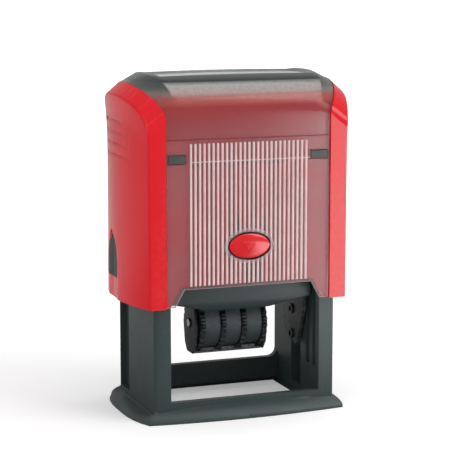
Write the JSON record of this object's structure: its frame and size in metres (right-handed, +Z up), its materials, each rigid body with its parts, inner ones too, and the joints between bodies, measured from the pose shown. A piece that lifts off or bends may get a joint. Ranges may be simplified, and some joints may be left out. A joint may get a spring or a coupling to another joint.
{
  "type": "self-inking date stamp",
  "caption": "Upright self-inking stamp: sprung red case with clear ribbed panels over an open slate frame, turning die unit with date wheels, and an ink pad.",
  "frame": {"origin": "bottom centre of the foot, on the surface that the stamp stands on", "axes": "+Z up along the press stroke, -Y towards the front with the lock button, +X to the right as seen from the front"},
  "size_m": [0.0804, 0.0494, 0.115],
  "materials": {
    "red_plastic": "smooth moulded red, soft gloss",
    "slate_plastic": "fine satin slate grey",
    "dark_plastic": "near-black satin",
    "clear_plastic": "clear moulded plastic over red",
    "smoke_plastic": "smoke-tinted clear plastic",
    "card": "matt printed card",
    "spring_steel": "drawn wire",
    "pad_felt": "ink-soaked felt",
    "die_rubber": "matt rubber",
    "band_rubber": "matt rubber"
  },
  "bodies": {
    "frame": {"base_frame": "slate_plastic", "pad_tray": "dark_plastic", "ink_pad": "pad_felt", "return_spring": "spring_steel"},
    "case": {"case_shell": "red_plastic", "front_panel": "clear_plastic", "rear_panel": "clear_plastic", "front_left_clip": "slate_plastic", "front_right_clip": "slate_plastic", "rear_left_clip": "slate_plastic", "rear_right_clip": "slate_plastic", "button_catch": "dark_plastic", "left_drive_arm": "dark_plastic", "right_drive_arm": "dark_plastic"},
    "cap": {"top_cap": "smoke_plastic", "card_window": "smoke_plastic", "index_card": "card"},
    "button": {"lock_button": "red_plastic"},
    "die_unit": {"die_carrier": "slate_plastic", "text_die": "die_rubber", "left_end_cheek": "dark_plastic", "right_end_cheek": "dark_plastic", "left_pivot_pin": "spring_steel", "right_pivot_pin": "spring_steel", "left_dater_plate": "dark_plastic", "right_dater_plate": "dark_plastic", "band_axle": "spring_steel", "detent_bar": "dark_plastic", "band_bridge": "dark_plastic", "day_band": "band_rubber", "month_band": "band_rubber", "year_band": "band_rubber"},
    "day_dial": {"day_wheel": "dark_plastic"},
    "month_dial": {"month_wheel": "dark_plastic"},
    "year_dial": {"year_wheel": "dark_plastic"}
  },
  "joints": [
    {"name": "case_press", "type": "slide", "parent": "frame", "child": "case", "axis": [0, 0, -1], "range_m": [0, 0.0285], "stiffness_N_per_m": 250, "springref_m": -0.02, "deforming": ["return_spring"]},
    {"name": "die_turn", "type": "hinge", "parent": "case", "child": "die_unit", "pos_m": [0, 0, 0.0375], "axis": [1, 0, 0], "range_deg": [0, 180]},
    {"name": "button_push", "type": "slide", "parent": "case", "child": "button", "axis": [0, 1, 0], "range_m": [0, 0.0015], "stiffness_N_per_m": 400, "springref_m": -0.001},
    {"name": "cap_lift", "type": "slide", "parent": "case", "child": "cap", "axis": [0, 0, 1], "range_m": [0, 0.012]},
    {"name": "day_set", "type": "hinge", "parent": "die_unit", "child": "day_dial", "pos_m": [-0.0075, 0, 0.0286], "axis": [1, 0, 0], "continuous": true},
    {"name": "month_set", "type": "hinge", "parent": "die_unit", "child": "month_dial", "pos_m": [0.001, 0, 0.0286], "axis": [1, 0, 0], "continuous": true},
    {"name": "year_set", "type": "hinge", "parent": "die_unit", "child": "year_dial", "pos_m": [0.0085, 0, 0.0286], "axis": [1, 0, 0], "continuous": true}
  ],
  "couplings": [
    {"joint": "die_turn", "follows": "case_press", "rad_per_m": 110.23}
  ]
}
